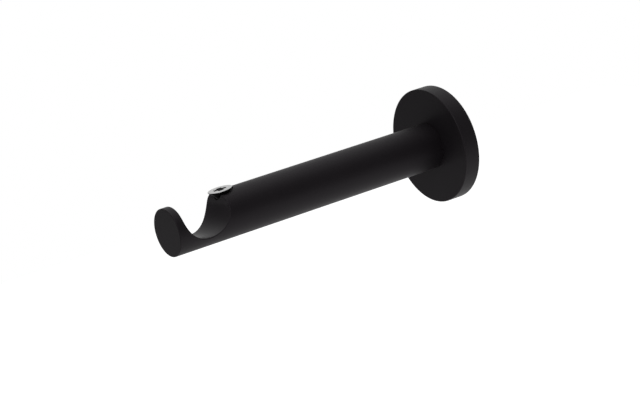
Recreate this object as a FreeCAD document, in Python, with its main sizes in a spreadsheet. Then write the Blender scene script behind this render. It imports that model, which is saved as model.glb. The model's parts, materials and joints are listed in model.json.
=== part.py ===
"""Curtain pole bracket, in millimetres.

A round bar with an open cradle for the pole stands on a cup-shaped rosette. A countersunk screw
beside the cradle holds the pole down. Inside the cup a bolt holds the bar, and a grub screw locks
the cup on the wall plate, which takes the two wall screws.

The origin is the centre of the wall face. The bar runs along -Y, the pole along X, and +Z is up.
Each screw has a frame of its own: its driven end is at z = 0 and its shank runs along -Z.
"""
import math
import os

import FreeCAD
import Part
import Sketcher

SIZES = {
    # bar and cradle
    "projection": 140.0,  # wall to the tip of the bar
    "arm_diameter": 20.0,
    "arm_edge": 0.5,  # radius on the bar's edges
    "pole_diameter": 20.0,
    "pole_clearance": 0.75,  # between pole and cradle, all round
    "cradle_floor": 4.65,  # metal left under the cradle
    "finger": 3.45,  # metal left between the cradle and the tip
    # clamp screw
    "clamp_thread": 5.0,
    "clamp_head": 10.2,
    "clamp_length": 12.0,
    "clamp_stand": 0.3,  # middle of the head above the bar's ridge
    "clamp_lean": 4.5,  # towards the pole, in degrees
    "clamp_lift": 1.0,  # of the screw off its seat, so that its head bears on the pole instead
    "clamp_sink": 10.7,  # widest part of its countersink
    "clamp_web": 0.2,  # metal between the tapped hole and the cradle, where the cone ends
    "recess_turn": 18.0,  # of its cross from the bar, clockwise from above, in degrees
    "recess_span": 4.8,  # tip to tip
    "recess_slot": 1.3,
    "recess_depth": 2.4,
    "recess_root_span": 2.4,  # tip to tip at the bottom of the recess
    "recess_root_slot": 0.9,
    # bolt that holds the bar on the rosette
    "bolt_thread": 6.0,
    "bolt_head": 11.6,
    "bolt_length": 16.0,
    "bolt_clearance": 0.25,  # round the bolt, in the rosette
    "bolt_sink": 0.1,  # head below the floor of the cup
    "bolt_web": 0.25,  # rosette metal left under the head
    "bolt_socket": 4.0,  # across the flats
    "bolt_socket_depth": 2.2,
    # grub screw
    "grub_thread": 3.0,
    "grub_length": 4.0,
    "grub_sink": 0.3,  # below the rosette's edge
    "grub_margin": 0.65,  # rosette metal between the grub screw and the wall
    "grub_bite": 0.6,  # length of bevel under its cone
    "grub_socket": 1.5,
    "grub_socket_depth": 1.5,
    # rosette and wall plate
    "rosette_diameter": 50.0,
    "rosette_edge": 0.4,  # chamfer on its front and wall edges
    "plate_land": 0.8,  # straight edge of the plate, past its bevel
    "plate_gap": 0.5,  # plate to the floor of the cup
    "plate_side_gap": 0.5,  # plate to the side of the cup
    "wall_hole": 4.5,
    "wall_hole_sink": 8.6,  # diameter of its countersink
    "wall_hole_inset": 7.25,  # its axis, in from the edge of the plate
    # shared by the screws
    "head_land": 0.25,  # straight rim of a countersunk head
    "thread_end": 0.4,  # chamfer at the end of a thread
    "thread_gap": 0.05,  # round a thread in its tapped hole
    "seat_gap": 0.05,  # between a cone and its seat
    "tap_runout": 2.0,  # tapped hole past the end of its screw
}
CONE_ANGLE = 90  # of every cone here, so a cone is as deep as its radius grows

# Derived sizes, as expressions on the sheet
ARM_RADIUS = "(Sizes.arm_diameter / 2)"
CRADLE_RADIUS = "(Sizes.pole_diameter / 2 + Sizes.pole_clearance)"
CRADLE_Y = f"({CRADLE_RADIUS} + Sizes.finger - Sizes.projection)"
CRADLE_Z = f"({CRADLE_RADIUS} + Sizes.cradle_floor - {ARM_RADIUS})"

# The clamp screw's axis leans, so its tapped hole draws away from the cradle with depth
CLAMP_HOLE_RADIUS = "(Sizes.clamp_thread / 2 + Sizes.thread_gap)"
CLAMP_CONE_TOP = "(Sizes.clamp_head / 2 + Sizes.head_land + Sizes.seat_gap + Sizes.clamp_lift)"
CLAMP_CONE_END = f"({CLAMP_CONE_TOP} - {CLAMP_HOLE_RADIUS})"  # depth under the head's face
CLAMP_EDGE = (
    f"({CLAMP_HOLE_RADIUS} * cos(Sizes.clamp_lean) - {CLAMP_CONE_END} * sin(Sizes.clamp_lean))"
)
CLAMP_Y = f"({CRADLE_Y} + {CRADLE_RADIUS} + Sizes.clamp_web + {CLAMP_EDGE})"
CLAMP_Z = f"({ARM_RADIUS} + Sizes.clamp_stand)"

GRUB_HOLE_RADIUS = "(Sizes.grub_thread / 2 + Sizes.thread_gap)"
GRUB_Y = f"(-Sizes.grub_margin - {GRUB_HOLE_RADIUS})"
GRUB_Z = "(Sizes.grub_sink - Sizes.rosette_diameter / 2)"

# The grub screw's cone lies on the plate's bevel, and that sets the plate's radius and thickness
PLATE_RADIUS = f"(Sizes.grub_bite - {GRUB_Z} - Sizes.grub_length - Sizes.seat_gap)"
PLATE_BEVEL = f"(Sizes.grub_bite - {GRUB_Y})"
PLATE_FRONT_Y = f"(-{PLATE_BEVEL} - Sizes.plate_land)"

CUP_RADIUS = f"({PLATE_RADIUS} + Sizes.plate_side_gap)"
CUP_FLOOR_Y = f"({PLATE_FRONT_Y} - Sizes.plate_gap)"
BOLT_Y = f"({CUP_FLOOR_Y} - Sizes.bolt_sink)"
BOLT_HEAD_DEPTH = "(Sizes.bolt_head / 2 - Sizes.bolt_thread / 2 + Sizes.head_land)"
ROSETTE_FRONT_Y = f"({BOLT_Y} - {BOLT_HEAD_DEPTH} - Sizes.bolt_web)"


def make_sheet(doc):
    """Put the driving sizes on a sheet, each in a cell with its name as alias."""
    sheet = doc.addObject("Spreadsheet::Sheet", "Sizes")
    for row, (name, size) in enumerate(SIZES.items(), start=1):
        sheet.set(f"A{row}", name)
        sheet.set(f"B{row}", str(size))
        sheet.setAlias(f"B{row}", name)
    doc.recompute()


def make_body(doc, label):
    body = doc.addObject("PartDesign::Body", label)
    body.Label = label
    return body


def worth(owner, expression):
    """What an expression comes to now, as a number."""
    return float(owner.evalExpression(expression))


def placed(y, z, turn, spin="0"):
    """Expression for a placement: spun about Z, then turned about X, then moved by y and z."""
    rotation = f"rotation(vector(1; 0; 0); {turn}) * rotation(vector(0; 0; 1); {spin})"
    return f"placement(vector(0; {y}; {z}); {rotation})"


def make_sketch(body, name, role, offset="0", shift="0", turn="0"):
    """A sketch on one of the body's own origin planes.

    It is moved along the plane's normal by the offset and along its second axis by the shift,
    and turned about its first axis.
    """
    plane = next(feature for feature in body.Origin.OriginFeatures if feature.Role == role)
    sketch = body.newObject("Sketcher::SketchObject", name)
    sketch.AttachmentSupport = [(plane, "")]
    sketch.MapMode = "FlatFace"
    sketch.setExpression("AttachmentOffset", placed(shift, offset, turn))
    return sketch


def bind(sketch, name, expression, kind, *where):
    """Add a dimension and let the sheet drive it."""
    index = sketch.addConstraint(Sketcher.Constraint(kind, *where, worth(sketch, expression)))
    sketch.renameConstraint(index, name)
    sketch.setExpression(f"Constraints.{name}", expression)


def place_point(sketch, name, geometry, point, x, y):
    """Hold a point of the sketch at x, y. A coordinate of "0" puts it on the axis."""
    for axis, kind, expression in ((-2, "DistanceX", x), (-1, "DistanceY", y)):
        if expression == "0":
            sketch.addConstraint(Sketcher.Constraint("PointOnObject", geometry, point, axis))
        else:
            bind(sketch, f"{name}{kind[-1]}", expression, kind, -1, 1, geometry, point)


def draw_polygon(sketch, corners):
    """Straight sides round the corners, each a pair of expressions."""
    points = [FreeCAD.Vector(worth(sketch, x), worth(sketch, y), 0) for x, y in corners]
    for start, end in zip(points, points[1:] + points[:1]):
        sketch.addGeometry(Part.LineSegment(start, end), False)
    for side, (x, y) in enumerate(corners):
        before = side - 1 if side else len(corners) - 1
        sketch.addConstraint(Sketcher.Constraint("Coincident", before, 2, side, 1))
        place_point(sketch, f"Corner{side}", side, 1, x, y)


def draw_circle(sketch, name, radius, x, y):
    centre = FreeCAD.Vector(worth(sketch, x), worth(sketch, y), 0)
    shape = Part.Circle(centre, FreeCAD.Vector(0, 0, 1), worth(sketch, radius))
    circle = sketch.addGeometry(shape, False)
    bind(sketch, f"{name}Radius", radius, "Radius", circle)
    place_point(sketch, name, circle, 3, x, y)


def revolve(body, name, sketch, axis):
    """Turn a closed profile once round an axis of its sketch."""
    turned = body.newObject("PartDesign::Revolution", name)
    turned.Profile = sketch
    turned.ReferenceAxis = (sketch, [axis])
    turned.Angle = 360


def drill(
    body, name, sketch, diameter, depth=None, sink=None, sink_below=None, along_normal=False
):
    """Drill at the sketch's circles, against its normal unless told otherwise.

    Without a depth the hole goes right through. With one it ends in a drill point. The sink is
    the diameter of the countersink at the sketch's plane, or that far below it, under a straight
    side.
    """
    body.Document.recompute()
    hole = body.newObject("PartDesign::Hole", name)
    hole.Profile = sketch
    hole.Reversed = along_normal
    hole.setExpression("Diameter", diameter)
    if sink:
        hole.HoleCutType = "Counterdrill" if sink_below else "Countersink"
        hole.HoleCutCountersinkAngle = CONE_ANGLE
        hole.setExpression("HoleCutDiameter", sink)
    if sink_below:
        hole.setExpression("HoleCutDepth", sink_below)
    if depth:
        hole.DepthType = "Dimension"
        hole.DrillPoint = "Angled"
        hole.setExpression("Depth", depth)
    else:
        hole.DepthType = "ThroughAll"


def soften_edges(body, name, kind, size, chosen):
    """Fillet or chamfer the edges of the body so far for which chosen(edge) is true."""
    body.Document.recompute()
    base = body.Tip
    names = [f"Edge{i}" for i, edge in enumerate(base.Shape.Edges, start=1) if chosen(edge)]
    softened = body.newObject(f"PartDesign::{kind}", name)
    softened.Base = (base, names)
    softened.setExpression({"Fillet": "Radius", "Chamfer": "Size"}[kind], size)


def distance_from_y_axis(point):
    return (point.x**2 + point.z**2) ** 0.5


def lies_at(edge, radius, near=0.001):
    """Whether an edge's ends and middle all lie at this radius from the Y axis."""
    middle = edge.valueAt((edge.FirstParameter + edge.LastParameter) / 2)
    points = [middle] + [vertex.Point for vertex in edge.Vertexes]
    return all(abs(distance_from_y_axis(point) - radius) < near for point in points)


def spans(edge, low, high, near=0.01):
    """Whether an edge stays between these two places along Y."""
    return low - near < edge.BoundBox.YMin and edge.BoundBox.YMax < high + near


def make_arm(doc):
    """The bar, with the cradle cut across it and a tapped hole for each of its two screws."""
    body = make_body(doc, "arm")
    section = make_sketch(body, "BarSection", "XZ_Plane", f"-{ROSETTE_FRONT_Y}")
    draw_circle(section, "Bar", ARM_RADIUS, "0", "0")
    bar = body.newObject("PartDesign::Pad", "Bar")
    bar.Profile = section
    bar.setExpression("Length", f"Sizes.projection + {ROSETTE_FRONT_Y}")

    tip = -worth(body, "Sizes.projection")
    soften_edges(
        body,
        "TipEdge",
        "Fillet",
        "Sizes.arm_edge",
        lambda edge: spans(edge, tip, tip),
    )
    cut_cradle(body)

    clamp_place = make_sketch(
        body, "ClampPlace", "XY_Plane", CLAMP_Z, shift=CLAMP_Y, turn="Sizes.clamp_lean"
    )
    draw_circle(clamp_place, "Clamp", CLAMP_HOLE_RADIUS, "0", "0")
    drill(
        body,
        "ClampHole",
        clamp_place,
        diameter=f"2 * {CLAMP_HOLE_RADIUS}",
        depth="Sizes.clamp_length + Sizes.tap_runout",
        sink="Sizes.clamp_sink",
        sink_below=f"{CLAMP_CONE_TOP} - Sizes.clamp_sink / 2",
    )

    bolt_radius = "(Sizes.bolt_thread / 2 + Sizes.thread_gap)"
    bolt_place = make_sketch(body, "BoltPlace", "XZ_Plane", f"-{ROSETTE_FRONT_Y}")
    draw_circle(bolt_place, "Bolt", bolt_radius, "0", "0")
    drill(
        body,
        "BoltHole",
        bolt_place,
        diameter=f"2 * {bolt_radius}",
        depth=f"{ROSETTE_FRONT_Y} - {BOLT_Y} + Sizes.bolt_length + Sizes.tap_runout",
        along_normal=True,
    )
    return body


def cut_cradle(body):
    """Cut the cradle right across the bar: a half-round floor under two straight walls."""
    outline = make_sketch(body, "CradleOutline", "YZ_Plane")
    centre_y = worth(outline, CRADLE_Y)
    centre_z = worth(outline, CRADLE_Z)
    radius = worth(outline, CRADLE_RADIUS)
    top = f"({CRADLE_Z} + Sizes.arm_diameter)"
    circle = Part.Circle(FreeCAD.Vector(centre_y, centre_z, 0), FreeCAD.Vector(0, 0, 1), radius)
    floor = outline.addGeometry(Part.ArcOfCircle(circle, -math.pi, 0), False)
    corners = [
        FreeCAD.Vector(centre_y + radius, centre_z, 0),
        FreeCAD.Vector(centre_y + radius, worth(outline, top), 0),
        FreeCAD.Vector(centre_y - radius, worth(outline, top), 0),
        FreeCAD.Vector(centre_y - radius, centre_z, 0),
    ]
    wall_side, lid, tip_side = (
        outline.addGeometry(Part.LineSegment(start, end), False)
        for start, end in zip(corners, corners[1:])
    )
    place_point(outline, "Floor", floor, 3, CRADLE_Y, CRADLE_Z)
    bind(outline, "FloorRadius", CRADLE_RADIUS, "Radius", floor)
    outline.addConstraint(Sketcher.Constraint("Tangent", floor, 2, wall_side, 1))
    outline.addConstraint(Sketcher.Constraint("Coincident", wall_side, 2, lid, 1))
    outline.addConstraint(Sketcher.Constraint("Coincident", lid, 2, tip_side, 1))
    outline.addConstraint(Sketcher.Constraint("Tangent", tip_side, 2, floor, 1))
    outline.addConstraint(Sketcher.Constraint("Vertical", wall_side))
    outline.addConstraint(Sketcher.Constraint("Vertical", tip_side))
    outline.addConstraint(Sketcher.Constraint("Horizontal", lid))
    bind(outline, "Top", top, "DistanceY", -1, 1, lid, 1)

    cradle = body.newObject("PartDesign::Pocket", "Cradle")
    cradle.Profile = outline
    cradle.SideType = "Symmetric"
    cradle.setExpression("Length", "2 * Sizes.arm_diameter")

    arm_radius = worth(body, ARM_RADIUS)
    low, high = centre_y - radius, centre_y + radius
    soften_edges(
        body,
        "CradleEdge",
        "Fillet",
        "Sizes.arm_edge",
        lambda edge: lies_at(edge, arm_radius) and spans(edge, low, high),
    )


def make_rosette(doc):
    """The cup: its front carries the bar, and its rim has the tapped hole of the grub screw."""
    body = make_body(doc, "rosette")
    profile = make_sketch(body, "CupProfile", "YZ_Plane")
    outer = "Sizes.rosette_diameter / 2"
    draw_polygon(
        profile,
        [
            ("0", CUP_RADIUS),
            ("0", outer),
            (ROSETTE_FRONT_Y, outer),
            (ROSETTE_FRONT_Y, "0"),
            (CUP_FLOOR_Y, "0"),
            (CUP_FLOOR_Y, CUP_RADIUS),
        ],
    )
    revolve(body, "Cup", profile, "H_Axis")
    outer_radius = worth(body, outer)
    front = worth(body, ROSETTE_FRONT_Y)
    soften_edges(
        body,
        "OuterEdges",
        "Chamfer",
        "Sizes.rosette_edge",
        lambda edge: lies_at(edge, outer_radius)
        and (spans(edge, front, front) or spans(edge, 0, 0)),
    )

    bolt_radius = "(Sizes.bolt_thread / 2 + Sizes.bolt_clearance)"
    bolt_place = make_sketch(body, "BoltPlace", "XZ_Plane", f"-{CUP_FLOOR_Y}")
    draw_circle(bolt_place, "Bolt", bolt_radius, "0", "0")
    head_gap = "(Sizes.bolt_sink + Sizes.head_land + Sizes.seat_gap)"
    drill(
        body,
        "BoltHole",
        bolt_place,
        diameter=f"2 * {bolt_radius}",
        sink=f"Sizes.bolt_head + 2 * {head_gap}",
        along_normal=True,
    )

    grub_place = make_sketch(body, "GrubPlace", "XY_Plane", f"-{outer}")
    draw_circle(grub_place, "Grub", GRUB_HOLE_RADIUS, "0", GRUB_Y)
    drill(
        body,
        "GrubHole",
        grub_place,
        diameter=f"2 * {GRUB_HOLE_RADIUS}",
        depth=f"{outer} - {CUP_RADIUS} + Sizes.plate_side_gap",
        along_normal=True,
    )
    return body


def make_wall_plate(doc):
    """The disc inside the cup, bevelled towards the wall, with two countersunk screw holes."""
    body = make_body(doc, "wall_plate")
    profile = make_sketch(body, "PlateProfile", "YZ_Plane")
    draw_polygon(
        profile,
        [
            ("0", "0"),
            ("0", f"{PLATE_RADIUS} - {PLATE_BEVEL}"),
            (f"-{PLATE_BEVEL}", PLATE_RADIUS),
            (PLATE_FRONT_Y, PLATE_RADIUS),
            (PLATE_FRONT_Y, "0"),
        ],
    )
    revolve(body, "Plate", profile, "H_Axis")

    hole_places = make_sketch(body, "HolePlaces", "XZ_Plane", f"-{PLATE_FRONT_Y}")
    inset = f"({PLATE_RADIUS} - Sizes.wall_hole_inset)"
    draw_circle(hole_places, "Upper", "Sizes.wall_hole / 2", "0", inset)
    draw_circle(hole_places, "Lower", "Sizes.wall_hole / 2", "0", f"-{inset}")
    drill(body, "WallHoles", hole_places, "Sizes.wall_hole", sink="Sizes.wall_hole_sink")
    return body


def turn_screw(body, corners):
    """Revolve a screw's half profile, corners of radius and height, round its own Z axis."""
    profile = make_sketch(body, "ScrewProfile", "XZ_Plane")
    draw_polygon(profile, corners)
    revolve(body, "Blank", profile, "V_Axis")


def countersunk_profile(head, thread, length):
    """Half profile of a countersunk screw, from the middle of its head."""
    head_radius = f"({head} / 2)"
    radius = f"({thread} / 2)"
    return [
        ("0", "0"),
        (head_radius, "0"),
        (head_radius, "-Sizes.head_land"),
        (radius, f"{radius} - {head_radius} - Sizes.head_land"),
        (radius, f"Sizes.thread_end - {length}"),
        (f"{radius} - Sizes.thread_end", f"-{length}"),
        ("0", f"-{length}"),
    ]


def cross_corners(span, slot):
    """The twelve corners of a cross, tip to tip span and slot wide."""
    far = f"({span} / 2)"
    near = f"({slot} / 2)"
    quarter = [(far, near), (near, near), (near, far)]
    corners = []
    for x_sign, y_sign in (("", ""), ("-", ""), ("-", "-"), ("", "-")):
        turn = quarter if x_sign == y_sign else quarter[::-1]
        corners += [(x_sign + x, y_sign + y) for x, y in turn]
    return corners


def cut_cross_recess(body):
    """Sink a cross that narrows to the bottom, its slots along X and Y."""
    mouth = make_sketch(body, "RecessMouth", "XY_Plane")
    draw_polygon(mouth, cross_corners("Sizes.recess_span", "Sizes.recess_slot"))
    root = make_sketch(body, "RecessRoot", "XY_Plane", "-Sizes.recess_depth")
    draw_polygon(root, cross_corners("Sizes.recess_root_span", "Sizes.recess_root_slot"))
    recess = body.newObject("PartDesign::SubtractiveLoft", "Recess")
    recess.Profile = mouth
    recess.Sections = [root]
    recess.Ruled = True


def cut_hex_socket(body, flats, depth):
    outline = make_sketch(body, "SocketOutline", "XY_Plane")
    half = f"{flats} / 2"
    corner = f"{flats} / sqrt(3)"
    near = f"{corner} / 2"
    draw_polygon(
        outline,
        [
            (corner, "0"),
            (near, half),
            (f"-{near}", half),
            (f"-{corner}", "0"),
            (f"-{near}", f"-{half}"),
            (near, f"-{half}"),
        ],
    )
    socket = body.newObject("PartDesign::Pocket", "Socket")
    socket.Profile = outline
    socket.setExpression("Length", depth)


def stand(body, y, z, turn, spin="0"):
    """Turn a screw from its own frame and put it in its place."""
    body.setExpression("Placement", placed(y, z, turn, spin))


def make_clamp_screw(doc):
    body = make_body(doc, "clamp_screw")
    turn_screw(
        body,
        countersunk_profile("Sizes.clamp_head", "Sizes.clamp_thread", "Sizes.clamp_length"),
    )
    cut_cross_recess(body)
    stand(body, CLAMP_Y, CLAMP_Z, "Sizes.clamp_lean", "-Sizes.recess_turn")
    return body


def make_arm_bolt(doc):
    body = make_body(doc, "arm_bolt")
    turn_screw(
        body,
        countersunk_profile("Sizes.bolt_head", "Sizes.bolt_thread", "Sizes.bolt_length"),
    )
    cut_hex_socket(body, "Sizes.bolt_socket", "Sizes.bolt_socket_depth")
    stand(body, BOLT_Y, "0", "-90")
    return body


def make_grub_screw(doc):
    """The headless screw in the rosette's rim; its cone pulls the cup to the wall."""
    body = make_body(doc, "grub_screw")
    radius = "(Sizes.grub_thread / 2)"
    turn_screw(
        body,
        [
            ("0", "0"),
            (radius, "0"),
            (radius, f"{radius} - Sizes.grub_length"),
            ("0", "-Sizes.grub_length"),
        ],
    )
    cut_hex_socket(body, "Sizes.grub_socket", "Sizes.grub_socket_depth")
    stand(body, GRUB_Y, GRUB_Z, "180")
    return body


def check(doc):
    """Stop if anything in the document failed to compute."""
    for item in doc.Objects:
        if "Invalid" in item.State or "Error" in item.State:
            raise RuntimeError(f"{item.Label} is {item.State}")
        if hasattr(item, "Shape") and (item.Shape.isNull() or not item.Shape.isValid()):
            raise RuntimeError(f"{item.Label} has no valid shape")


doc = FreeCAD.newDocument("curtain_pole_bracket")
make_sheet(doc)
bodies = [
    make_arm(doc),
    make_rosette(doc),
    make_wall_plate(doc),
    make_arm_bolt(doc),
    make_clamp_screw(doc),
    make_grub_screw(doc),
]
doc.recompute()
check(doc)
os.makedirs("parts", exist_ok=True)
for body in bodies:
    body.Shape.exportStep(f"parts/{body.Label}.step")
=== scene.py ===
"""Looks of the curtain pole bracket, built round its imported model.

Lengths are millimetres until a mesh is made, which is in metres. The origin is the centre of the
wall face, the bar runs along -Y, the pole along X, and +Z is up.
"""

import json
import math

import bmesh
import bpy
import numpy as np
from mathutils import Matrix, Vector


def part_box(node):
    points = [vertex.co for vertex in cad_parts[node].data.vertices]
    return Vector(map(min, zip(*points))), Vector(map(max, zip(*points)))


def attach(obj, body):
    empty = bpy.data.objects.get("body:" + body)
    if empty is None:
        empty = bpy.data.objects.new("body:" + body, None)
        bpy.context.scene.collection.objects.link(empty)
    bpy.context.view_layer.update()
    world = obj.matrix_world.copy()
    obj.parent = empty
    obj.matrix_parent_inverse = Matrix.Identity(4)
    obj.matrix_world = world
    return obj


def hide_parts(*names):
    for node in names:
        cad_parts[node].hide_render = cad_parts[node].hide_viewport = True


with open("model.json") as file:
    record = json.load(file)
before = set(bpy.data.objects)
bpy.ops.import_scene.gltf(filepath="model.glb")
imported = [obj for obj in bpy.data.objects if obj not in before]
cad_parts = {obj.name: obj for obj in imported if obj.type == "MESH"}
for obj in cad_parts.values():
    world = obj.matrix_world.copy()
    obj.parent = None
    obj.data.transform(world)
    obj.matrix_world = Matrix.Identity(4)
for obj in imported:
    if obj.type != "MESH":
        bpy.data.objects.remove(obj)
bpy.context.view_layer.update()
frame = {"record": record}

MM = 0.001
QUARTER = math.pi / 2


def mount(name):
    """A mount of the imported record: its place in millimetres and its sizes."""
    found = next(m for m in frame["record"]["mounts"] if m["name"] == name)
    return np.array(found["pos_m"]) / MM, found["dims"]


def box(node):
    """Lowest and highest corner of a node, in millimetres."""
    low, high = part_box(node)
    return np.array(low) / MM, np.array(high) / MM


# Sizes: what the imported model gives, then edges, holes and threads

SEAT, SEAT_SIZES = mount("pole_seat")
CRADLE_Y, CRADLE_Z = SEAT[1], SEAT[2]
CRADLE_RADIUS = SEAT_SIZES["r_mm"]
WALL_SCREW_SIZES = mount("wall_screws")[1]
ARM_LOW, ARM_HIGH = box("arm")
BAR_RADIUS = ARM_HIGH[2]
BAR_TIP = ARM_LOW[1]
BAR_BASE = ARM_HIGH[1]
BAR_EDGE = 0.3
NECK = CRADLE_Y + 2 * CRADLE_RADIUS  # where the plain part of the bar begins
BOLT_HOLE, BOLT_HOLE_DEPTH, BOLT_HOLE_POINT = 3.05, 14.7, 1.83

CLAMP_LOW, CLAMP_HIGH = box("clamp_screw")
CLAMP_LEAN = math.radians(4.5)  # of the clamp screw, towards the pole
CLAMP_TURN = math.radians(-18)  # of its cross recess from the bar
CLAMP_HEAD = CLAMP_HIGH[0]  # radius of its head
CLAMP_Y = CLAMP_LOW[1] + CLAMP_HEAD * math.cos(CLAMP_LEAN)
CLAMP_Z = CLAMP_HIGH[2] - CLAMP_HEAD * math.sin(CLAMP_LEAN)
CLAMP_HOLE, CLAMP_SINK, CLAMP_HOLE_DEPTH = 2.55, 5.35, 14
CLAMP_LIFT = 1.3  # from the cone of the head down to the cone of its seat
DRILL_POINT = 0.6  # depth of a drilled point for each millimetre of radius

CUP_RADIUS, CUP_FLOOR = 21.75, 4.1
CUP_HOLE, CUP_HOLE_TOP, CUP_SINK = 3.25, 7.05, 6.2
PLATE_BEVEL = 2.8
BOLT_PLACE = [0, 4.2, 0]  # of the arm bolt's head, from the wall
GRUB_PLACE = [0, -2.2, 0]
GRUB_RADIUS, GRUB_HOLE, GRUB_POINT = 1.5, 1.55, 0.75

# Surfaces: grids of points from profiles and paths


def soften(profile, radius, steps=6, support=0.04):
    """Round the inner corners of a profile, given as rows of (radius, height).

    At each corner the two sides are left at t = r / tan(half the corner's angle), and the points
    between lie on the circle through both: centre + r * (slerp of the two radii). One more point
    just outside each end of the arc keeps the flats flat under smooth shading.
    """
    profile = np.asarray(profile, float)
    radius = np.broadcast_to(np.asarray(radius, float), len(profile) - 2)
    corner = profile[1:-1]
    back = profile[:-2] - corner
    ahead = profile[2:] - corner
    back /= np.linalg.norm(back, axis=1, keepdims=True)
    ahead /= np.linalg.norm(ahead, axis=1, keepdims=True)
    half = np.arccos(np.clip((back * ahead).sum(1), -1, 1)) / 2
    leave = (radius / np.tan(half))[:, None]
    middle = back + ahead
    middle /= np.linalg.norm(middle, axis=1, keepdims=True)
    centre = corner + middle * (radius / np.sin(half))[:, None]
    start = (corner + back * leave - centre) / radius[:, None]
    end = (corner + ahead * leave - centre) / radius[:, None]
    arc = centre[:, None] + slerp(start, end, steps) * radius[:, None, None]
    before = (corner + back * (leave + support))[:, None]
    after = (corner + ahead * (leave + support))[:, None]
    inner = np.concatenate([before, arc, after], axis=1).reshape(-1, 2)
    return np.concatenate([profile[:1], inner, profile[-1:]])


def slerp(start, end, steps):
    """Even turns from rows of unit vectors to others: (sin (1 - s) t a + sin s t b) / sin t."""
    turn = np.arccos(np.clip((start * end).sum(1), -1, 1))[:, None, None]
    share = np.linspace(0, 1, steps)[None, :, None]
    ends = np.sin((1 - share) * turn) * start[:, None] + np.sin(share * turn) * end[:, None]
    return ends / np.sin(turn)


def around(count):
    return np.linspace(0, 2 * math.pi, count + 1)


def turned(profile, angles):
    """A profile turned about Z: x = r cos a, y = r sin a, z = h. The radius may change with a."""
    profile = np.asarray(profile, float)
    radius, height = profile[..., 0], profile[..., 1]
    if radius.ndim == 1:
        radius = np.repeat(radius[:, None], len(angles), axis=1)
        height = np.repeat(height[:, None], len(angles), axis=1)
    return np.stack([radius * np.cos(angles), radius * np.sin(angles), height], axis=-1)


def along_bar(surface):
    """Lay a surface made about Z along the bar: its height becomes the distance from the wall."""
    x, y, z = np.moveaxis(surface, -1, 0)
    return np.stack([x, -z, y], axis=-1)


def in_clamp_place(surface):
    """Lean a surface made upright about Z and move it to the middle of the clamp screw's head."""
    x, y, z = np.moveaxis(surface, -1, 0)
    c, s = math.cos(CLAMP_LEAN), math.sin(CLAMP_LEAN)
    return np.stack([x, CLAMP_Y + y * c - z * s, CLAMP_Z + y * s + z * c], axis=-1)


# Meshes: closed pieces, cuts in them, and their hand-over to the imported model


def grid_faces(rows, columns, first):
    corner = first + np.arange(rows * columns).reshape(rows, columns)
    quads = [corner[:-1, :-1], corner[:-1, 1:], corner[1:, 1:], corner[1:, :-1]]
    return np.stack(quads, axis=-1).reshape(-1, 4)


def make_piece(name, surfaces, weld=0.0004):
    """One closed mesh from several grids of points, welded along their common edges."""
    points = np.concatenate([surface.reshape(-1, 3) for surface in surfaces]) * MM
    starts = np.cumsum([0] + [surface.shape[0] * surface.shape[1] for surface in surfaces])
    faces = np.concatenate(
        [grid_faces(*surface.shape[:2], start) for surface, start in zip(surfaces, starts)]
    )
    mesh = bpy.data.meshes.new(name)
    mesh.from_pydata(points, [], faces)
    shell = bmesh.new()
    shell.from_mesh(mesh)
    bmesh.ops.remove_doubles(shell, verts=shell.verts, dist=weld * MM)
    bmesh.ops.dissolve_degenerate(shell, edges=shell.edges, dist=weld * MM)
    bmesh.ops.recalc_face_normals(shell, faces=shell.faces)
    open_edges = [edge for edge in shell.edges if len(edge.link_faces) != 2]
    if open_edges:
        raise RuntimeError(f"{name} has {len(open_edges)} open or crossed edges")
    shell.to_mesh(mesh)
    shell.free()
    piece = bpy.data.objects.new(name, mesh)
    bpy.context.scene.collection.objects.link(piece)
    return piece


def carve(piece, *cutters):
    """Take closed cutters out of a piece and remove them."""
    for cutter in cutters:
        cut = piece.modifiers.new("Cut", "BOOLEAN")
        cut.operation = "DIFFERENCE"
        cut.solver = "EXACT"
        cut.object = cutter
    view = bpy.context.evaluated_depsgraph_get()
    whole = piece.data
    piece.data = bpy.data.meshes.new_from_object(piece.evaluated_get(view), depsgraph=view)
    piece.data.name = piece.name
    piece.modifiers.clear()
    bpy.data.meshes.remove(whole)
    for cutter in cutters:
        bpy.data.meshes.remove(cutter.data)


def finish_piece(piece, material, node, sharp=38):
    """Shade a piece smooth up to its sharp edges and let it stand for its node."""
    piece.data.materials.clear()
    piece.data.materials.append(material)
    piece.data.shade_smooth()
    piece.data.set_sharp_from_angle(angle=math.radians(sharp))
    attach(piece, "root")
    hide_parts(node)


# Arm: a round bar with the cradle cut across it


def cradle_rim():
    """Path of the ball that rolls round the cradle's rim inside the metal, on the x >= 0 side.

    Its centre stays one edge radius e under the bar's surface and one edge radius behind the
    cradle's wall, so it lies on the circle y = Yc + (Rc + e) cos t, z = Zc + (Rc + e) sin t of
    the floor, or on the straight walls above it, with x = sqrt((R - e)^2 - z^2). Returned are
    the centres, the unit vectors from there into the metal behind the wall, and the count of
    points on each wall.
    """
    wall = 25
    reach = BAR_RADIUS - BAR_EDGE
    offset = CRADLE_RADIUS + BAR_EDGE
    rise = np.linspace(QUARTER, math.asin(CRADLE_Z / reach), wall)
    bend = np.linspace(math.pi, 2 * math.pi, 129)[1:-1]
    into_y = np.concatenate([np.full(wall, -1.0), np.cos(bend), np.full(wall, 1.0)])
    into_z = np.concatenate([np.zeros(wall), np.sin(bend), np.zeros(wall)])
    y = CRADLE_Y + offset * into_y
    z = np.concatenate(
        [reach * np.sin(rise), CRADLE_Z + offset * np.sin(bend), reach * np.sin(rise[::-1])]
    )
    x = np.sqrt(np.maximum(reach**2 - z**2, 0))
    x[[0, -1]] = 0
    into = np.stack([np.zeros(len(y)), into_y, into_z], axis=-1)
    return np.stack([x, y, z], axis=-1), into, wall


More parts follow.
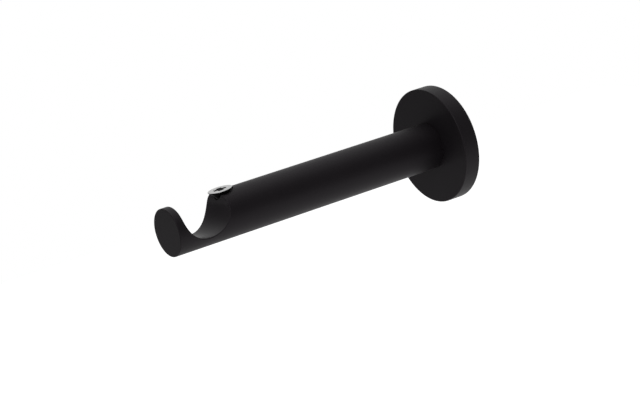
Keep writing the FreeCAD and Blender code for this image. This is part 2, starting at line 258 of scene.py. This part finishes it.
def cradle_surface(foot):
    """Straight lines along x between the two rolled edges, whose lower ends are given."""
    across = np.sin(np.linspace(-QUARTER, QUARTER, 33))[None, :, None]
    return foot[:, None] * [0, 1, 1] + foot[:, None] * [1, 0, 0] * across


def skin_beside_cradle(centre, wall, tip_y):
    """Skin from the rolled edge to a rectangle in (angle, y): straight lines, closer at the edge.

    Returned with it are the angles of its upright sides, which the rings of the bar share.
    """
    inner_angle = np.arctan2(centre[:, 2], centre[:, 0])
    inner_y = centre[:, 1]
    count = len(inner_y)
    quarter = (count - 2 * wall) // 4
    under = np.linspace(inner_angle[wall - 1], -QUARTER, quarter + 2)[1:]
    down = np.concatenate([inner_angle[:wall], under])
    low = np.linspace(tip_y, NECK, count - 2 * len(down) + 2)
    outer_angle = np.concatenate([down, np.full(len(low) - 2, -QUARTER), down[::-1]])
    outer_y = np.concatenate([np.full(len(down), tip_y), low[1:-1], np.full(len(down), NECK)])
    reach = (np.linspace(0, 1, 22) ** 1.7)[None, :]
    reach = np.insert(reach, 1, 0.004, axis=1)
    angle = inner_angle[:, None] * (1 - reach) + outer_angle[:, None] * reach
    y = inner_y[:, None] * (1 - reach) + outer_y[:, None] * reach
    return np.stack([BAR_RADIUS * np.cos(angle), y, BAR_RADIUS * np.sin(angle)], axis=-1), down


def bar_surfaces():
    """All surfaces of the bar except its clamp hole."""
    centre, into, wall = cradle_rim()
    outward = centre * [1, 0, 1] / (BAR_RADIUS - BAR_EDGE)
    edge = centre[:, None] + BAR_EDGE * slerp(-into, outward, 10)
    tip_y = BAR_TIP + BAR_EDGE
    skin, down = skin_beside_cradle(centre, wall, tip_y)
    mirror = [-1, 1, 1]
    rings = np.concatenate([down, (math.pi - down)[::-1]])
    tip = [[BAR_RADIUS, -tip_y - 0.1], [BAR_RADIUS, -BAR_TIP], [0, -BAR_TIP]]
    tip = soften(tip, BAR_EDGE, steps=8)
    tip[0:2, 1] = -tip_y
    rows = np.linspace(-NECK, 0.1 - BAR_BASE, 34)
    plain = np.stack([np.full_like(rows, BAR_RADIUS), rows], axis=-1)
    hole_end = BOLT_HOLE_DEPTH - BAR_BASE
    socket = [
        [BAR_RADIUS, -BAR_BASE],
        [BOLT_HOLE, -BAR_BASE],
        [BOLT_HOLE, hole_end],
        [0, hole_end + BOLT_HOLE_POINT],
    ]
    return [
        edge,
        edge * mirror,
        cradle_surface(edge[:, 0]),
        skin,
        skin * mirror,
        along_bar(turned(tip, rings)),
        along_bar(turned(np.concatenate([plain, socket]), rings)),
    ]


def build_arm(coat, seat_coat_painted_light):
    """The cradle's faces, short of its rounded rim, take the smoother coat of the seat, whose
    colour is painted lighter: painted light.
    """
    arm = make_piece("coated_arm", bar_surfaces())
    cone = CLAMP_HEAD + CLAMP_LIFT
    profile = [
        [0, 1],
        [CLAMP_SINK, 1],
        [CLAMP_SINK, CLAMP_SINK - cone],
        [CLAMP_HOLE, CLAMP_HOLE - cone],
        [CLAMP_HOLE, -CLAMP_HOLE_DEPTH],
        [0, -CLAMP_HOLE_DEPTH - CLAMP_HOLE * DRILL_POINT],
    ]
    carve(arm, make_piece("cutter", [in_clamp_place(turned(profile, around(128)))]))
    finish_piece(arm, coat, "arm")
    arm.data.materials.append(seat_coat_painted_light)
    centres = np.empty(len(arm.data.polygons) * 3)
    arm.data.polygons.foreach_get("center", centres)
    x, y, z = centres.reshape(-1, 3).T / MM
    along = np.abs(y - CRADLE_Y)
    off_middle = np.where(z > CRADLE_Z, along, np.hypot(along, z - CRADLE_Z))
    on_cradle = np.abs(off_middle - CRADLE_RADIUS) < 0.02
    in_seat = on_cradle & (np.hypot(x, z) < BAR_RADIUS - 0.05)
    # The seat's faces take the coat whose lighter colour is painted light.
    arm.data.polygons.foreach_set("material_index", in_seat.astype(np.int32))


# Rosette and wall plate: turned about the bar's axis, then drilled


def build_rosette(material):
    low, high = box("rosette")
    rim, depth = high[0], -low[1]
    loop = [
        [CUP_RADIUS, 0.8],
        [CUP_RADIUS, 0],
        [rim, 0],
        [rim, depth],
        [CUP_HOLE, depth],
        [CUP_HOLE, CUP_HOLE_TOP],
        [CUP_SINK, CUP_FLOOR],
        [CUP_RADIUS, CUP_FLOOR],
        [CUP_RADIUS, 0.8],
    ]
    profile = soften(loop, [0.15, 0.35, 0.4, 0.1, 0.15, 0.1, 0.3])
    cup = make_piece("coated_rosette", [along_bar(turned(profile, around(180)))])
    drill = [
        [0, -1],
        [GRUB_HOLE + 0.3, -1],
        [GRUB_HOLE + 0.12, -0.02],
        [GRUB_HOLE, 0.1],
        [GRUB_HOLE, 4],
        [0, 4.8],
    ]
    from_below = np.array(GRUB_PLACE) - [0, 0, rim]
    carve(cup, make_piece("cutter", [turned(drill, around(64)) + from_below]))
    finish_piece(cup, material, "rosette")


def build_wall_plate(material):
    low, high = box("wall_plate")
    rim, depth = high[0], -low[1]
    outline = [[0, 0], [rim - PLATE_BEVEL, 0], [rim, PLATE_BEVEL], [rim, depth], [0, depth]]
    profile = soften(outline, [0.2, 0.15, 0.2], steps=5)
    plate = make_piece("bevelled_wall_plate", [along_bar(turned(profile, around(160)))])
    hole = WALL_SCREW_SIZES["hole_r_mm"]
    sink = hole + 3.05
    drill = [[0, -1], [hole, -1], [hole, depth + 1 - (sink - hole)], [sink, depth + 1]]
    drill = along_bar(turned(drill + [[0, depth + 1]], around(64)))
    apart = np.array([0, 0, WALL_SCREW_SIZES["spacing_y_mm"] / 2])
    carve(plate, *[make_piece("cutter", [drill + side * apart]) for side in (1, -1)])
    finish_piece(plate, material, "wall_plate")


# Screws: a threaded shank, a countersunk head and a recess


def screw_thread(outer, pitch, top, bottom, angles, chamfer=0.4):
    """Rows of (radius, height) for a threaded shank, each row a ring of one height.

    The radius is the outer one less the depth of a 60 degree V whose place along Z moves one
    pitch per turn: u = (z / pitch + a / 2 pi) mod 1, depth = 0.54 pitch * flat-topped |2u - 1|.
    The V fades out over one pitch below the top, and the end of the shank is chamfered.
    """
    height = np.linspace(top, bottom, int(round((top - bottom) / pitch * 14)) + 1)
    phase = (height[:, None] / pitch + angles[None, :] / (2 * math.pi)) % 1
    flank = np.clip(np.abs(2 * phase - 1) * 1.25 - 0.08, 0, 1)
    fade = np.clip((top - height) / pitch, 0, 1)[:, None]
    end = np.clip(outer - chamfer + (height - bottom), 0, outer)[:, None]
    depth = 0.54 * pitch
    radius = np.minimum(outer - depth * flank * fade, end)
    return np.stack([radius, np.repeat(height[:, None], len(angles), axis=1)], axis=-1)


def ring_rows(profile, angles):
    """Plain rings from a profile, in the shape that screw_thread gives."""
    return np.repeat(np.asarray(profile, float)[:, None, :], len(angles), axis=1)


def closed_end(shank):
    """The last ring of a shank drawn in to the axis."""
    last = shank[-1:].copy()
    last[..., 0] = 0
    return last


def countersunk(head, outer, pitch, length, neck):
    """A countersunk screw with its head's top at z = 0 and its shank along -Z."""
    angles = around(96)
    land = 0.25
    cone_end = -land - (head - outer)
    blank = [[0, 0], [head, 0], [head, -land], [outer, cone_end], [outer, cone_end - neck]]
    top = soften(blank, [0.07, 0.07, 0.25], steps=5, support=0.03)
    shank = screw_thread(outer, pitch, cone_end - neck, -length, angles)
    rows = [ring_rows(top, angles), shank, closed_end(shank)]
    return turned(np.concatenate(rows), angles)


def cross_outline(span, slot, root=0.4):
    """Outline of a cross recess: four wings of one width, with rounded inner corners.

    Each quarter runs from the tip of one wing to the tip of the next: a half width beside the
    wing's end, an arc of the root radius in the inner corner, and the next wing's half width.
    """
    half, wing = span / 2, slot / 2
    bend = np.linspace(-QUARTER, -math.pi, 7)
    corner = np.stack([wing + root + root * np.cos(bend), wing + root + root * np.sin(bend)], 1)
    quarter = np.concatenate([[[half, 0], [half, wing * 0.8], [half - 0.15, wing]], corner])
    quarter = np.concatenate([quarter, [[wing, half - 0.15], [wing * 0.8, half]]])
    turns = []
    for k in range(4):
        c, s = math.cos(k * QUARTER), math.sin(k * QUARTER)
        turns.append(quarter @ np.array([[c, s], [-s, c]]))
    outline = np.concatenate(turns)
    return np.concatenate([outline, outline[:1]])


def cross_recess():
    """Cross recess: outlines that shrink from the mouth to the root, closed above and below.

    Each level gives a height, the span of the cross and the width of its wings.
    """
    levels = [(1.0, 5.7, 2.6), (0.02, 5.3, 2.3), (-0.3, 4.9, 1.6), (-2.3, 2.4, 0.9)]
    rings = [np.insert(cross_outline(span, slot), 2, z, axis=1) for z, span, slot in levels]
    lid = rings[0] * [0, 0, 1]
    point = rings[-1] * [0, 0, 0] + [0, 0, -2.75]
    surface = np.array([lid, *rings, point])
    c, s = math.cos(CLAMP_TURN), math.sin(CLAMP_TURN)
    return surface @ np.array([[c, s, 0], [-s, c, 0], [0, 0, 1]])


def hex_recess(flats, depth):
    """Hexagonal socket from z = 1 down, with a drilled point below it."""
    corner = around(6)
    rings = [(0, 1), (flats / math.sqrt(3), 1), (flats / math.sqrt(3), -depth), (0, -depth - 0.5)]
    return np.array(
        [
            np.stack([r * np.cos(corner), r * np.sin(corner), np.full(7, z)], axis=-1)
            for r, z in rings
        ]
    )


def build_clamp_screw(bright, painted_shade):
    """The head's face is bright zinc. The recess, the rim and all that lies under the face take a
    near-black steel: painted shade where shade falls.
    """
    blank = countersunk(CLAMP_HEAD, outer=2.5, pitch=0.8, length=12.0, neck=0.5)
    screw = make_piece("threaded_clamp_screw", [in_clamp_place(blank)])
    carve(screw, make_piece("cutter", [in_clamp_place(cross_recess())]))
    finish_piece(screw, bright, "clamp_screw")
    screw.data.materials.append(painted_shade)
    centres = np.empty(len(screw.data.polygons) * 3)
    screw.data.polygons.foreach_get("center", centres)
    x, y, z = centres.reshape(-1, 3).T / MM
    # The recess and all below the head's face take the second material: painted shade.
    depth = (y - CLAMP_Y) * math.sin(CLAMP_LEAN) - (z - CLAMP_Z) * math.cos(CLAMP_LEAN)
    recess_for_shade = (np.hypot(x, y - CLAMP_Y) < 3) & (depth > 0.005)
    under_face_for_shade = depth > 0.06
    screw.data.polygons.foreach_set("material_index", (under_face_for_shade | recess_for_shade).astype(np.int32))


def build_arm_bolt(material):
    away_from_wall = [1, 1, -1]
    blank = countersunk(5.8, outer=3.0, pitch=1.0, length=16.0, neck=0.3)
    bolt = make_piece("threaded_arm_bolt", [along_bar(blank * away_from_wall) - BOLT_PLACE])
    socket = along_bar(hex_recess(flats=4.0, depth=2.2) * away_from_wall) - BOLT_PLACE
    carve(bolt, make_piece("cutter", [socket]))
    finish_piece(bolt, material, "arm_bolt")


def build_grub_screw(material):
    """Headless screw that stands in the rim from below, its cone on the plate's bevel."""
    low, high = box("grub_screw")
    angles = around(64)
    bottom, tip = low[2], high[2]
    top = tip - GRUB_RADIUS
    shank = screw_thread(GRUB_RADIUS, 0.5, top, bottom, angles, chamfer=0.15)
    cone = [[0, tip], [GRUB_POINT, tip - GRUB_POINT], [GRUB_RADIUS, top]]
    rows = [ring_rows(cone, angles), shank[1:], closed_end(shank)]
    surface = turned(np.concatenate(rows), angles) + GRUB_PLACE
    grub = make_piece("threaded_grub_screw", [surface])
    socket = hex_recess(flats=1.5, depth=1.5) * [1, 1, -1] + GRUB_PLACE + [0, 0, bottom]
    carve(grub, make_piece("cutter", [socket]))
    finish_piece(grub, material, "grub_screw")


# Finishes: one grain for all of them


def new_group(name, inputs, outputs):
    """A shader node group with its sockets, its input node and its output node."""
    group = bpy.data.node_groups.new(name, "ShaderNodeTree")
    for label, kind, value in inputs:
        socket = group.interface.new_socket(label, in_out="INPUT", socket_type=kind)
        if value is not None:
            socket.default_value = value
    for label, kind in outputs:
        group.interface.new_socket(label, in_out="OUTPUT", socket_type=kind)
    return group, group.nodes.new("NodeGroupInput"), group.nodes.new("NodeGroupOutput")


def make_grain():
    """Fine grain of a coat or a blasted metal: a height, and a slow drift of tone."""
    group, given, out = new_group(
        "Grain",
        [("Point", "NodeSocketVector", None), ("Size", "NodeSocketFloat", 0.3)],
        [("Height", "NodeSocketFloat"), ("Drift", "NodeSocketFloat")],
    )
    link = group.links.new
    per_metre = group.nodes.new("ShaderNodeMath")
    per_metre.operation = "DIVIDE"
    per_metre.inputs[0].default_value = 1 / MM
    link(given.outputs["Size"], per_metre.inputs[1])
    fine = group.nodes.new("ShaderNodeTexNoise")
    fine.inputs["Detail"].default_value = 2
    link(given.outputs["Point"], fine.inputs["Vector"])
    link(per_metre.outputs[0], fine.inputs["Scale"])
    slow = group.nodes.new("ShaderNodeTexNoise")
    slow.inputs["Scale"].default_value = 60
    slow.inputs["Detail"].default_value = 3
    link(given.outputs["Point"], slow.inputs["Vector"])
    link(fine.outputs["Fac"], out.inputs["Height"])
    link(slow.outputs["Fac"], out.inputs["Drift"])
    return group


def make_finish(name, grain, size, depth, dark, light, rough, metallic=1, specular=0.5):
    """A material whose grain has a size and a bump depth in millimetres.

    Its tone drifts between a dark and a light colour, and its roughness between two values.
    """
    material = bpy.data.materials.new(name)
    material.use_nodes = True
    tree = material.node_tree
    shader = tree.nodes["Principled BSDF"]
    shader.inputs["Metallic"].default_value = metallic
    shader.inputs["Specular IOR Level"].default_value = specular
    place = tree.nodes.new("ShaderNodeTexCoord")
    node = tree.nodes.new("ShaderNodeGroup")
    node.node_tree = grain
    node.inputs["Size"].default_value = size
    tree.links.new(place.outputs["Object"], node.inputs["Point"])
    bump = tree.nodes.new("ShaderNodeBump")
    bump.inputs["Distance"].default_value = depth * MM
    tree.links.new(node.outputs["Height"], bump.inputs["Height"])
    tree.links.new(bump.outputs["Normal"], shader.inputs["Normal"])
    tone = tree.nodes.new("ShaderNodeMix")
    tone.data_type = "RGBA"
    tone.inputs["A"].default_value = (*dark, 1)
    tone.inputs["B"].default_value = (*light, 1)
    tree.links.new(node.outputs["Drift"], tone.inputs["Factor"])
    tree.links.new(tone.outputs["Result"], shader.inputs["Base Color"])
    span = tree.nodes.new("ShaderNodeMapRange")
    span.inputs["To Min"].default_value = rough[0]
    span.inputs["To Max"].default_value = rough[1]
    tree.links.new(node.outputs["Drift"], span.inputs["Value"])
    tree.links.new(span.outputs["Result"], shader.inputs["Roughness"])
    return material


def make_powder_coat(grain):
    material = make_finish(
        "Black powder coat", grain, size=0.35, depth=0.01,
        dark=(0.0029, 0.0022, 0.0029), light=(0.0047, 0.0037, 0.0046), rough=(0.48, 0.56),
        metallic=0, specular=0.16,
    )
    shader = material.node_tree.nodes["Principled BSDF"]
    shader.inputs["Specular Tint"].default_value = (1, 0.92, 1, 1)
    return material


def make_lighter_seat_coat(grain):
    """The same coat where it is smoother, matt from above with a glint at a low angle. Its colour
    is painted about four times lighter than the coat's: painted light on the seat's walls.
    """
    return make_finish(
        "Smoother coat in the seat, painted lighter", grain, size=0.35, depth=0.01,
        dark=(0.010, 0.0085, 0.010), light=(0.015, 0.013, 0.015), rough=(0.27, 0.33),
        metallic=0, specular=0.05,
    )


# Studio: camera, lamps, world and floor

VIEW_AZIMUTH = math.radians(57.78132)
VIEW_ELEVATION = math.radians(11.66363)
VIEW_ROLL = math.radians(-11.49437)
VIEW_DISTANCE = 797.0
VIEW_AIM = np.array([0, -60.0, 0])
VIEW_LEFT, VIEW_DOWN = 4.33332, 8.84256  # the camera stands aside so far, square to its view
VIEW_LENS, VIEW_SENSOR = 107.729, 36
FLOOR_LEVEL = -160.0
FLOOR_GLOW = 0.46
WORLD_LEVEL = 0.7


def add_camera():
    """Camera that fits the photograph's outlines: a long lens from beside the tip, rolled."""
    a, e, r = VIEW_AZIMUTH, VIEW_ELEVATION, VIEW_ROLL
    back = np.array([math.sin(a) * math.cos(e), -math.cos(a) * math.cos(e), math.sin(e)])
    level = np.array([math.cos(a), math.sin(a), 0])
    upright = np.cross(back, level)
    right = math.cos(r) * level + math.sin(r) * upright
    up = math.cos(r) * upright - math.sin(r) * level
    place = VIEW_AIM - right * VIEW_LEFT - up * VIEW_DOWN + back * VIEW_DISTANCE
    camera = bpy.data.objects.new("Camera", bpy.data.cameras.new("Camera"))
    camera.data.sensor_fit = "HORIZONTAL"
    camera.data.sensor_width = VIEW_SENSOR
    camera.data.lens = VIEW_LENS
    camera.data.clip_end = 50
    turn = Matrix([right, up, back]).transposed().to_4x4()
    camera.matrix_world = Matrix.Translation(Vector(place * MM)) @ turn
    bpy.context.scene.collection.objects.link(camera)
    bpy.context.scene.camera = camera


def add_lamp(name, place, aim, side, strength):
    """A soft square lamp, its place, aim and side in millimetres and its strength in watts."""
    lamp = bpy.data.lights.new(name, "AREA")
    lamp.shape = "SQUARE"
    lamp.size = side * MM
    lamp.energy = strength
    holder = bpy.data.objects.new(name, lamp)
    direction = (Vector(aim) - Vector(place)).normalized()
    turn = direction.to_track_quat("-Z", "Y").to_matrix().to_4x4()
    holder.matrix_world = Matrix.Translation(Vector(place) * MM) @ turn
    bpy.context.scene.collection.objects.link(holder)


def ease(tree, value, start, end):
    """A node output that goes smoothly from 0 to 1 as the value goes from start to end."""
    span = tree.nodes.new("ShaderNodeMapRange")
    span.interpolation_type = "SMOOTHSTEP"
    span.inputs["From Min"].default_value = start
    span.inputs["From Max"].default_value = end
    tree.links.new(value, span.inputs["Value"])
    return span.outputs["Result"]


def calculate(tree, operation, first, second):
    """A Math node whose two inputs are node outputs or plain numbers."""
    node = tree.nodes.new("ShaderNodeMath")
    node.operation = operation
    for socket, given in zip(node.inputs, (first, second)):
        if isinstance(given, (int, float)):
            socket.default_value = given
        else:
            tree.links.new(given, socket)
    return node.outputs[0]


def seen_as_background(tree):
    """A mask that is 1 for camera, glossy and transmission rays."""
    path = tree.nodes.new("ShaderNodeLightPath")
    total = path.outputs["Is Camera Ray"]
    for kind in ("Is Glossy Ray", "Is Transmission Ray"):
        total = calculate(tree, "MAXIMUM", total, path.outputs[kind])
    return total


def dim_end(tree, direction, axis, start, end, kept):
    """How much a dim end of the studio takes away: 0 outside it, 1 - kept in its middle.

    It goes smoothly from one to the other as the dot product of the direction and the axis goes
    from start to end.
    """
    along = tree.nodes.new("ShaderNodeVectorMath")
    along.operation = "DOT_PRODUCT"
    along.inputs[1].default_value = axis
    tree.links.new(direction, along.inputs[0])
    return calculate(tree, "MULTIPLY", ease(tree, along.outputs["Value"], start, end), 1 - kept)


def dim_past_tip(tree, direction):
    return dim_end(tree, direction, (-0.6, -0.75, -0.25), start=0.25, end=0.85, kept=0.2)


def dim_towards_wall(tree, direction):
    return dim_end(tree, direction, (0.83, 0.52, 0.2), start=0.3, end=0.85, kept=0.3)


def kept_in_reflections(tree, dimmed):
    """A factor of 1 for all rays but glossy ones, for which it is 1 - dimmed."""
    glossy = tree.nodes.new("ShaderNodeLightPath").outputs["Is Glossy Ray"]
    return calculate(tree, "SUBTRACT", 1, calculate(tree, "MULTIPLY", dimmed, glossy))


def add_world():
    """White background over an even light, in a studio with two dim ends.

    Camera, glossy and transmission rays find white, and all others find the plain level. Only
    reflections show the dim ends: one lies towards the wall and the other past the tip.
    """
    world = bpy.data.worlds.new("Studio")
    bpy.context.scene.world = world
    world.use_nodes = True
    tree = world.node_tree
    background = tree.nodes["Background"]
    background.inputs["Color"].default_value = (1, 1, 1, 1)
    direction = tree.nodes.new("ShaderNodeTexCoord").outputs["Generated"]
    ends = dim_towards_wall(tree, direction), dim_past_tip(tree, direction)
    kept = kept_in_reflections(tree, calculate(tree, "ADD", *ends))
    level = tree.nodes.new("ShaderNodeMapRange")
    level.inputs["To Min"].default_value = WORLD_LEVEL
    level.inputs["To Max"].default_value = 1.0
    tree.links.new(seen_as_background(tree), level.inputs["Value"])
    strength = calculate(tree, "MULTIPLY", level.outputs["Result"], kept)
    tree.links.new(strength, background.inputs["Strength"])


def add_floor():
    """A pale floor far below the bracket. From underneath it lets the view through.

    Its glow makes up what its lit colour lacks of white. Reflections find it dim past the tip.
    """
    side = 700
    mesh = bpy.data.meshes.new("floor")
    corners = np.array([[-1, -1, 0], [1, -1, 0], [1, 1, 0], [-1, 1, 0]]) * side
    mesh.from_pydata((corners + [0, 0, FLOOR_LEVEL]) * MM, [], [(0, 1, 2, 3)])
    floor = bpy.data.objects.new("floor", mesh)
    bpy.context.scene.collection.objects.link(floor)
    material = bpy.data.materials.new("Pale floor")
    material.use_nodes = True
    tree = material.node_tree
    shader = tree.nodes["Principled BSDF"]
    shader.inputs["Base Color"].default_value = (0.82, 0.82, 0.82, 1)
    shader.inputs["Roughness"].default_value = 0.9
    shader.inputs["Specular IOR Level"].default_value = 0
    shader.inputs["Emission Color"].default_value = (1, 1, 1, 1)
    point = tree.nodes.new("ShaderNodeNewGeometry")
    direction = tree.nodes.new("ShaderNodeVectorMath")
    direction.operation = "NORMALIZE"
    tree.links.new(point.outputs["Position"], direction.inputs[0])
    kept = kept_in_reflections(tree, dim_past_tip(tree, direction.outputs["Vector"]))
    seen = calculate(tree, "MULTIPLY", seen_as_background(tree), kept)
    glow = calculate(tree, "MULTIPLY", seen, FLOOR_GLOW)
    tree.links.new(glow, shader.inputs["Emission Strength"])
    clear = tree.nodes.new("ShaderNodeBsdfTransparent")
    either = tree.nodes.new("ShaderNodeMixShader")
    tree.links.new(point.outputs["Backfacing"], either.inputs["Fac"])
    tree.links.new(shader.outputs[0], either.inputs[1])
    tree.links.new(clear.outputs[0], either.inputs[2])
    tree.links.new(either.outputs[0], tree.nodes["Material Output"].inputs["Surface"])
    mesh.materials.append(material)


grain = make_grain()
powder_coat = make_powder_coat(grain)
# Painted light: the seat's coat is lighter than the black coat it shares.
seat_coat_painted_light = make_lighter_seat_coat(grain)
bright_zinc = make_finish(
    "Bright zinc", grain, size=0.5, depth=0.03,
    dark=(0.33, 0.33, 0.33), light=(0.51, 0.51, 0.505), rough=(0.25, 0.40),
)
# Painted shade: near-black steel for the clamp screw's recess, rim and all under its head.
painted_shade_steel = make_finish(
    "Steel with painted shade", grain, size=0.5, depth=0.01,
    dark=(0.01, 0.01, 0.01), light=(0.028, 0.028, 0.028), rough=(0.45, 0.6),
)
zinc_plate = make_finish(
    "Zinc plated plate", grain, size=0.6, depth=0.01,
    dark=(0.52, 0.53, 0.54), light=(0.68, 0.69, 0.70), rough=(0.30, 0.45),
)
black_oxide = make_finish(
    "Black oxide steel", grain, size=0.4, depth=0.01,
    dark=(0.03, 0.03, 0.034), light=(0.06, 0.06, 0.066), rough=(0.35, 0.5),
)
build_arm(powder_coat, seat_coat_painted_light)
build_rosette(powder_coat)
build_wall_plate(zinc_plate)
build_arm_bolt(black_oxide)
build_clamp_screw(bright_zinc, painted_shade_steel)
build_grub_screw(black_oxide)
add_camera()
add_floor()
add_world()
add_lamp("Overhead", (100, -60, 900), (0, -60, 0), side=900, strength=2.0)
add_lamp("Key", (350, -400, 350), (0, -100, 0), side=300, strength=0.8)
bpy.context.scene.view_settings.view_transform = "Standard"
